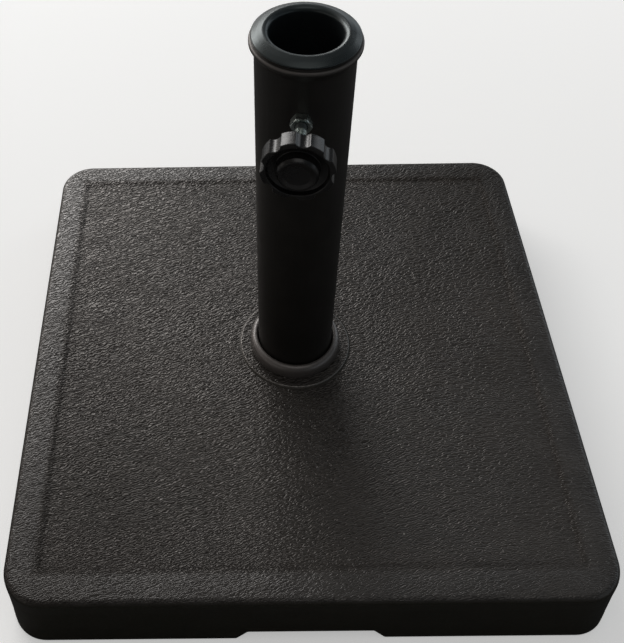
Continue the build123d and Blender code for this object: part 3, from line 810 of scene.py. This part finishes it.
def build_insert():
    top = TUBE_TOP
    nrib = 8
    th = []
    for k in range(nrib):
        a = math.radians(22.5 + 45 * k)
        w = 1.0 / 29.5
        th += [a - w - 0.012, a - w, a - w * 0.5, a, a + w * 0.5, a + w, a + w + 0.012]
        gap = np.linspace(a + w + 0.012, a + math.radians(45) - w - 0.012, 34)[1:-1]
        th += gap.tolist()
    th = np.array(th)
    is_rib = np.zeros(len(th), bool)
    for k in range(nrib):
        a = math.radians(22.5 + 45 * k)
        is_rib |= np.abs((th - a + math.pi) % (2 * math.pi) - math.pi) < 1.0 / 29.5 + 1e-6
    c, s = np.cos(th), np.sin(th)
    bore, sleeve, mouth = BORE_R, BORE_R + 3.0, 4.0
    prof = rounded(
        [
            (bore, INSERT_LOW, 0.5),
            (sleeve, INSERT_LOW, 0.7),
            (sleeve, INSERT_LOW + 1.2),
            (sleeve + 0.001, INSERT_LOW + 2.4),
            (sleeve + 0.001, top - 2.4),
            (sleeve, top - 1.2),
            (sleeve, top + 0.05, 0.3),
            (33.6, top + 0.05, 0.2),
            (34.2, top + 1.05, 0.3),
            (FLANGE_R - 0.5, top + 1.15, 0.5),
            (FLANGE_R, top + 1.75, 0.5),
            (FLANGE_R - 0.60, INSERT_TOP - 3.20, 1.2),
            (32.2, INSERT_TOP - 1.35, 9.0),
            (bore + mouth + 0.5, INSERT_TOP, 1.4),
            (bore + mouth, INSERT_TOP),
        ],
        closed=False,
        step_deg=5,
    )
    for a in np.linspace(0, math.pi / 2, 24)[1:]:
        prof.append(np.array([bore + mouth - mouth * math.sin(a), INSERT_TOP - mouth + mouth * math.cos(a)]))
    prof.append(np.array([bore, 345.0]))
    rings = []
    for r, z in prof:
        R = np.full(len(th), r)
        if abs(r - sleeve - 0.001) < 1e-6:
            R = np.where(is_rib, bore_r(z) - 0.12, r)
        rings.append(np.stack([R * c, R * s, np.full(len(th), z)], 1))
    return outwards(make_object("insert", *loft(rings), 40))


finish_piece(build_insert(), "insert_plastic", "reducer", "reducer_insert")


# ------------------------------------------------------------------ clamp: bush, screw, knob, cap
def hex_polar(af, th):
    a = th % (math.pi / 3) - math.pi / 6
    return af / 2 / np.cos(a)


def build_bush():
    th = np.concatenate([np.linspace(k * math.pi / 3, (k + 1) * math.pi / 3, 16, endpoint=False) for k in range(6)])
    c, s = np.cos(th), np.sin(th)
    af = 13.0
    front = tube_r(CLAMP_Z) + 6.5
    H = hex_polar(af, th)
    H = np.minimum(H, af / 2 / math.cos(math.pi / 6) - 0.12)
    rings = []

    def ring(R, Z):
        R, Z = np.broadcast_to(R, th.shape), np.broadcast_to(Z, th.shape)
        rings.append(np.stack([R * c, R * s, Z], 1))

    # back face, hollowed to the tube
    def seat(R):
        return np.sqrt(np.maximum(tube_r(CLAMP_Z) ** 2 - (R * c) ** 2, 1.0)) + 0.03

    ring(5.4, 28.4)
    ring(5.4, seat(5.4) + 0.02)
    ring(H - 0.3, seat(H - 0.3))
    ring(H, seat(H) + 0.25)
    for z in (front - 3.0, front - 1.6):
        ring(H, z)
    # the chamfer cone cuts the corners back in arcs
    for z in np.linspace(front - 1.25, front - 0.08, 12):
        cone = af / 2 - 0.25 + (front - z) * 1.72
        ring(np.minimum(H, cone), z)
    ring(af / 2 - 0.45, front)
    for R in (5.6, 5.0):
        ring(R, front)
    ring(4.5, front - 0.05)
    ring(4.06, front - 0.55)
    ring(4.06, 28.4)
    return place_on_clamp(outwards(make_object("bush", *loft(rings), 28)))


finish_piece(build_bush(), "zinc_steel", "base", "clamp_bush")


def build_screw():
    """M8 x 1.25 screw with its real helical thread, as radius over angle and length."""
    pitch, r_out, r_in = 1.25, 3.99, 3.27
    seg = 48
    z0, z1 = 27.6, 70.5
    th = np.linspace(0, 2 * math.pi, seg, endpoint=False)
    c, s = np.cos(th), np.sin(th)
    rows = int((z1 - z0) / pitch * 12)
    rings = []
    tip = 1.95
    for r, z in ((tip - 0.35, 26.62), (tip, 26.9), (tip, 27.55)):
        rings.append(np.stack([r * c, r * s, np.full(seg, z)], 1))
    for i in range(rows + 1):
        z = z0 + (z1 - z0) * i / rows
        # right-hand thread: turning clockwise seen from the knob drives it inwards (towards -z here)
        ph = ((z / pitch) - th / (2 * math.pi)) % 1.0
        w = np.abs(ph - 0.5) * 2  # 0 at the root, 1 at the crest
        r = r_in + (r_out - r_in) * np.clip((w - 0.14) / 0.70, 0, 1)
        end = r_out - 0.75 + min((z - z0) * 1.1, 0.75)
        r = np.minimum(r, end)
        rings.append(np.stack([r * c, r * s, np.full(seg, z)], 1))
    rings.append(np.stack([3.6 * c, 3.6 * s, np.full(seg, z1 + 0.3)], 1))
    verts, faces = loft(rings, close_loop=False)
    n = seg
    verts, faces = cap_ring(verts, faces, 0, n, (0, 0, 26.6), True)
    verts, faces = cap_ring(verts, faces, (len(rings) - 1) * n, n, (0, 0, z1 + 0.3), False)
    return place_on_clamp(outwards(make_object("screw", verts, faces, 40)))


screw = finish_piece(build_screw(), "zinc_steel", "knob", "clamp_screw")
screw.data.materials[0] = zinc_material("zinc_thread", True)

KNOB_R, KNOB_BACK, KNOB_FRONT, HUB_R, HUB_FRONT = 23.5, 69.1, 81.4, 13.2, 84.6


def knob_outline(th, soften=True):
    """Radius of the fluted rim at each angle."""
    R0, depth, fr = KNOB_R, 2.65, 5.4
    fine = np.linspace(0, 2 * math.pi, 5760, endpoint=False)
    r = np.full(fine.shape, R0)
    D = R0 - depth + fr
    for k in range(8):
        a = math.radians(90 - 6.5 - 45 * k)
        d = (fine - a + math.pi) % (2 * math.pi) - math.pi
        inside = np.abs(D * np.sin(d)) < fr
        cut = np.where(inside, D * np.cos(d) - np.sqrt(np.maximum(fr * fr - (D * np.sin(d)) ** 2, 0)), R0)
        r = np.where((np.abs(d) < 0.5) & (cut < r), cut, r)
    kern = np.hanning(41)
    r = np.real(np.fft.ifft(np.fft.fft(r) * np.fft.fft(np.roll(np.pad(kern / kern.sum(), (0, 5760 - 41)), -20))))
    return np.interp(th % (2 * math.pi), np.append(fine, 2 * math.pi), np.append(r, r[0]))


def build_knob():
    n = 384
    th = np.linspace(0, 2 * math.pi, n, endpoint=False)
    c, s = np.cos(th), np.sin(th)
    rim = knob_outline(th)
    rings = []

    def ring(R, Z):
        R = np.broadcast_to(R, th.shape)
        rings.append(np.stack([R * c, R * s, np.full(n, Z)], 1))

    b, f = KNOB_BACK, KNOB_FRONT
    # back: bore, boss, shallow hollow
    for r, z in rounded([(4.02, b + 3), (4.02, b, 0.0), (4.5, b), (9.5, b, 0.6), (10.4, b + 2.2, 0.8), (17.8, b + 2.2, 0.8), (18.8, b, 0.6), (19.1, b)], closed=False, step_deg=18):
        ring(r, z)
    for a in np.linspace(0, math.pi / 2, 7):
        ring(rim - 0.8 + 0.8 * math.sin(a), b + 0.8 - 0.8 * math.cos(a))
    for z in np.linspace(b + 2, f - 1.4, 6):
        ring(rim, z)
    # the front edge: a soft round, then the narrow lip
    for a in np.linspace(0, math.pi / 2, 8):
        ring(rim - 0.55 + 0.55 * math.cos(a), f - 0.55 + 0.55 * math.sin(a))
    face = rounded(
        [
            (20.9, f),
            (19.7, f, 0.9),
            (18.9, f - 3.3, 0.8),
            (HUB_R + 0.45, f - 4.5, 0.7),
            (HUB_R + 0.1, HUB_FRONT - 1.8, 0.8),
            (12.2, HUB_FRONT, 0.4),
            (12.06, HUB_FRONT, 0.25),
            (12.06, HUB_FRONT - 2.4),
            (4.02, HUB_FRONT - 2.4),
        ],
        closed=False,
        step_deg=10,
    )
    lip = rings[-1][:, :2]
    lip_r = np.hypot(lip[:, 0], lip[:, 1])
    for r, z in face:
        ring(np.minimum(r, lip_r - 0.05) if r > 19.7 else r, z)
    return place_on_clamp(outwards(make_object("knob", *loft(rings), 32)))


finish_piece(build_knob(), "knob_plastic", "knob", "knob_body")


def build_cap():
    n = 96
    f = HUB_FRONT
    prof = rounded(
        [
            (0.4, f - 2.35),
            (11.9, f - 2.35, 0.3),
            (11.95, f + 0.24, 0.45),
            (10.6, f + 0.30, 1.6),
            (8.2, f - 0.50, 1.6),
            (3.0, f - 0.60, 2.0),
            (0.4, f - 0.60),
        ],
        closed=False,
        step_deg=7,
    )
    th = np.linspace(0, 2 * math.pi, n, endpoint=False)
    rings = [np.stack([r * np.cos(th), r * np.sin(th), np.full(n, z)], 1) for r, z in prof]
    verts, faces = loft(rings, close_loop=False)
    verts, faces = cap_ring(verts, faces, 0, n, (0, 0, f - 2.35), True)
    verts, faces = cap_ring(verts, faces, (len(rings) - 1) * n, n, (0, 0, f - 0.62), False)
    return place_on_clamp(outwards(make_object("cap", verts, faces, 40)))


finish_piece(build_cap(), "knob_plastic", "knob", "knob_cap")

# ------------------------------------------------------------------ CAD nodes that are shown as they are
slots = {p["node"]: p["material_slot"] for p in frame["record"]["subparts"]}
for name, ob in frame["nodes"].items():
    if ob.hide_render:
        continue
    mat = MATS[slots[name]]
    if not ob.material_slots:
        ob.data.materials.append(mat)
    for sl in ob.material_slots:
        sl.material = mat

# ------------------------------------------------------------------ camera
POS = Vector((-0.05054, -0.562749, 0.785625 + 0.001))
YAW, PITCH, ROLL = 0.015069, -0.644957, 0.025244
F_PX, CX, CY, W_PX, H_PX = 1091.268, 214.564, 40.547, 624.0, 643.0


def rot(axis, a):
    return Matrix.Rotation(a, 3, axis)


R = rot("Z", YAW) @ rot("X", PITCH) @ rot("Y", ROLL)
right, fwd, up = R.col[0], R.col[1], R.col[2]
cam_data = bpy.data.cameras.new("camera")
cam = bpy.data.objects.new("camera", cam_data)
bpy.context.scene.collection.objects.link(cam)
m = Matrix((right, up, -Vector(fwd))).transposed().to_4x4()
m.translation = POS
cam.matrix_world = m
cam_data.sensor_fit = "AUTO"
cam_data.sensor_width = 36.0
cam_data.lens = F_PX * 36.0 / H_PX
cam_data.clip_start, cam_data.clip_end = 0.02, 60.0
SHIFT_X, SHIFT_Y = (W_PX / 2 - CX) / H_PX, (CY - H_PX / 2) / H_PX
cam_data.shift_x, cam_data.shift_y = SHIFT_X, SHIFT_Y
bpy.context.scene.camera = cam
# the lens shift belongs to this one viewpoint, so it goes to zero when the camera is moved elsewhere
for prop, value in (("shift_x", SHIFT_X), ("shift_y", SHIFT_Y)):
    d = cam_data.driver_add(prop).driver
    d.type = "SCRIPTED"
    for label, axis in (("px", "LOC_X"), ("py", "LOC_Y")):
        v = d.variables.new()
        v.name = label
        v.type = "TRANSFORMS"
        v.targets[0].id = cam
        v.targets[0].transform_type = axis
        v.targets[0].transform_space = "WORLD_SPACE"
    d.expression = f"{value:.6f} if abs(px - {POS.x:.6f}) + abs(py - {POS.y:.6f}) < 0.002 else 0.0"

# ------------------------------------------------------------------ floor and light
floor_mesh = bpy.data.meshes.new("floor")
ring_n = 96
fv = [(0, 0, 0)] + [(9 * math.cos(2 * math.pi * k / ring_n), 9 * math.sin(2 * math.pi * k / ring_n), 0) for k in range(ring_n)]
floor_mesh.from_pydata(fv, [], [(0, k + 1, (k + 1) % ring_n + 1) for k in range(ring_n)])
floor = bpy.data.objects.new("floor", floor_mesh)
bpy.context.scene.collection.objects.link(floor)
floor.location.z = -0.0002
fm = bpy.data.materials.new("floor_paper")
fm.use_nodes = True
t = fm.node_tree
t.nodes.clear()
out = t.nodes.new("ShaderNodeOutputMaterial")
dif = t.nodes.new("ShaderNodeBsdfDiffuse")
lp = t.nodes.new("ShaderNodeLightPath")
mixc = t.nodes.new("ShaderNodeMix")
mixc.data_type = "RGBA"
# to the camera the floor is pale paper that fades into the plain backdrop. In reflections the paper near the base is a
# mid grey, so the plastic keeps its dark sides, and the paper further out is pale
geo = t.nodes.new("ShaderNodeNewGeometry")
flat = t.nodes.new("ShaderNodeVectorMath")
flat.operation = "MULTIPLY"
t.links.new(geo.outputs["Position"], flat.inputs[0])
flat.inputs[1].default_value = (1, 1, 0)
length = t.nodes.new("ShaderNodeVectorMath")
length.operation = "LENGTH"
t.links.new(flat.outputs[0], length.inputs[0])


def fade(a, b, c, d):
    x = t.nodes.new("ShaderNodeMapRange")
    x.interpolation_type = "SMOOTHSTEP"
    t.links.new(length.outputs["Value"], x.inputs["Value"])
    for name, val in (("From Min", a), ("From Max", b), ("To Min", c), ("To Max", d)):
        x.inputs[name].default_value = val
    return x.outputs[0]


seen = t.nodes.new("ShaderNodeMix")
seen.data_type = "RGBA"
t.links.new(fade(0.50, 0.95, 0.0, 1.0), seen.inputs[0])
seen.inputs[6].default_value = (0.10, 0.10, 0.10, 1)
seen.inputs[7].default_value = (0.50, 0.50, 0.50, 1)
mixc.inputs[6].default_value = (1.25, 1.25, 1.24, 1)
t.links.new(seen.outputs[2], mixc.inputs[7])
t.links.new(lp.outputs["Is Glossy Ray"], mixc.inputs[0])
t.links.new(mixc.outputs[2], dif.inputs["Color"])
glow = t.nodes.new("ShaderNodeEmission")
glow.inputs["Color"].default_value = (0.93, 0.93, 0.925, 1)
share = t.nodes.new("ShaderNodeMath")
share.operation = "MULTIPLY"
t.links.new(lp.outputs["Is Camera Ray"], share.inputs[0])
t.links.new(fade(0.30, 1.5, 0.42, 1.0), share.inputs[1])
both = t.nodes.new("ShaderNodeMixShader")
t.links.new(share.outputs[0], both.inputs[0])
t.links.new(dif.outputs[0], both.inputs[1])
t.links.new(glow.outputs[0], both.inputs[2])
t.links.new(both.outputs[0], out.inputs[0])
floor_mesh.materials.append(fm)

world = bpy.data.worlds.new("studio")
bpy.context.scene.world = world
world.use_nodes = True
t = world.node_tree
t.nodes.clear()
out = t.nodes.new("ShaderNodeOutputWorld")
bg_cam = t.nodes.new("ShaderNodeBackground")
bg_cam.inputs["Color"].default_value = (0.93, 0.93, 0.925, 1)
bg_cam.inputs["Strength"].default_value = 1.0
bg = t.nodes.new("ShaderNodeBackground")
mixs = t.nodes.new("ShaderNodeMixShader")
lp = t.nodes.new("ShaderNodeLightPath")
co = t.nodes.new("ShaderNodeTexCoord")
sep = t.nodes.new("ShaderNodeSeparateXYZ")
t.links.new(co.outputs["Generated"], sep.inputs[0])


def wmath(op, a, b=0.0, clamp=False):
    x = t.nodes.new("ShaderNodeMath")
    x.operation = op
    x.use_clamp = clamp
    for i, v in enumerate((a, b)):
        if isinstance(v, bpy.types.NodeSocket):
            t.links.new(v, x.inputs[i])
        else:
            x.inputs[i].default_value = v
    return x.outputs[0]


def wstep(v, a, b):
    x = t.nodes.new("ShaderNodeMapRange")
    x.interpolation_type = "SMOOTHSTEP"
    t.links.new(v, x.inputs["Value"])
    x.inputs["From Min"].default_value = a
    x.inputs["From Max"].default_value = b
    return x.outputs[0]


# brighter overhead and behind, dim in front
WORLD_TOP, WORLD_BACK, WORLD_FRONT = 0.10, 0.18, 0.050
high = wstep(sep.outputs["Z"], -0.05, 0.9)
back = wstep(sep.outputs["Y"], -0.35, 0.95)
left = wstep(sep.outputs["X"], 0.9, -0.9)
level = wmath("ADD", wmath("MULTIPLY", high, WORLD_TOP), WORLD_FRONT)
level = wmath("ADD", level, wmath("MULTIPLY", back, wmath("MULTIPLY", wmath("ADD", wmath("MULTIPLY", left, 0.95), 0.12), WORLD_BACK)))
# a pale wall low behind
low = wmath("MULTIPLY", wstep(sep.outputs["Z"], -0.05, 0.02), wmath("SUBTRACT", 1.0, wstep(sep.outputs["Z"], 0.12, 0.34)))
glow = wmath("MULTIPLY", low, wstep(sep.outputs["Y"], -0.05, 0.5))
level = wmath("ADD", level, wmath("MULTIPLY", glow, 1.1))
# two soft panels low in front and to the sides, which give the upright faces their shape from a low eye
band = wmath("MULTIPLY", wstep(sep.outputs["Z"], -0.10, 0.02), wmath("SUBTRACT", 1.0, wstep(sep.outputs["Z"], 0.18, 0.42)))
aside = wstep(wmath("ABSOLUTE", sep.outputs["X"]), 0.30, 0.75)
front = wstep(sep.outputs["Y"], 0.30, -0.25)
level = wmath("ADD", level, wmath("MULTIPLY", wmath("MULTIPLY", band, wmath("MULTIPLY", aside, front)), 0.50))
tint = t.nodes.new("ShaderNodeMix")
tint.data_type = "RGBA"
t.links.new(left, tint.inputs[0])
tint.inputs[6].default_value = (0.84, 0.93, 1.0, 1)
tint.inputs[7].default_value = (1.0, 0.94, 0.885, 1)
t.links.new(tint.outputs[2], bg.inputs["Color"])
t.links.new(level, bg.inputs["Strength"])
t.links.new(lp.outputs["Is Camera Ray"], mixs.inputs[0])
t.links.new(bg.outputs[0], mixs.inputs[1])
t.links.new(bg_cam.outputs[0], mixs.inputs[2])
t.links.new(mixs.outputs[0], out.inputs[0])


def area(name, azimuth, elevation, distance, size, size_y, power, colour):
    """A softbox aimed at the tube. Azimuth 0 is behind the object (+Y), positive towards +X."""
    light = bpy.data.lights.new(name, "AREA")
    light.shape = "RECTANGLE"
    light.size, light.size_y = size, size_y
    light.energy = power
    light.color = colour
    ob = bpy.data.objects.new(name, light)
    bpy.context.scene.collection.objects.link(ob)
    a, e = math.radians(azimuth), math.radians(elevation)
    d = Vector((math.sin(a) * math.cos(e), math.cos(a) * math.cos(e), math.sin(e)))
    ob.location = Vector((0, 0, 0.15)) + d * distance
    ob.rotation_mode = "QUATERNION"
    ob.rotation_quaternion = (-d).to_track_quat("-Z", "Y")
    ob.visible_camera = False
    return ob


area("key_window", -26, 30, 3.0, 2.4, 0.85, 48.0, (1.0, 0.985, 0.97))
area("left_window", -56, 26, 3.0, 1.0, 0.9, 5.5, (1.0, 0.94, 0.90))
area("right_window", 50, 27, 3.0, 0.9, 0.9, 3.3, (0.93, 0.96, 1.0))
area("top_fill", -30, 78, 3.0, 2.4, 2.4, 2.0, (1.0, 0.96, 0.92))
area("front_top", 180, 70, 3.0, 2.0, 1.8, 7.5, (1.0, 0.97, 0.94))

sc = bpy.context.scene
sc.view_settings.view_transform = "Standard"
sc.view_settings.look = "None"
sc.view_settings.exposure = 0.0
sc.view_settings.gamma = 1.0
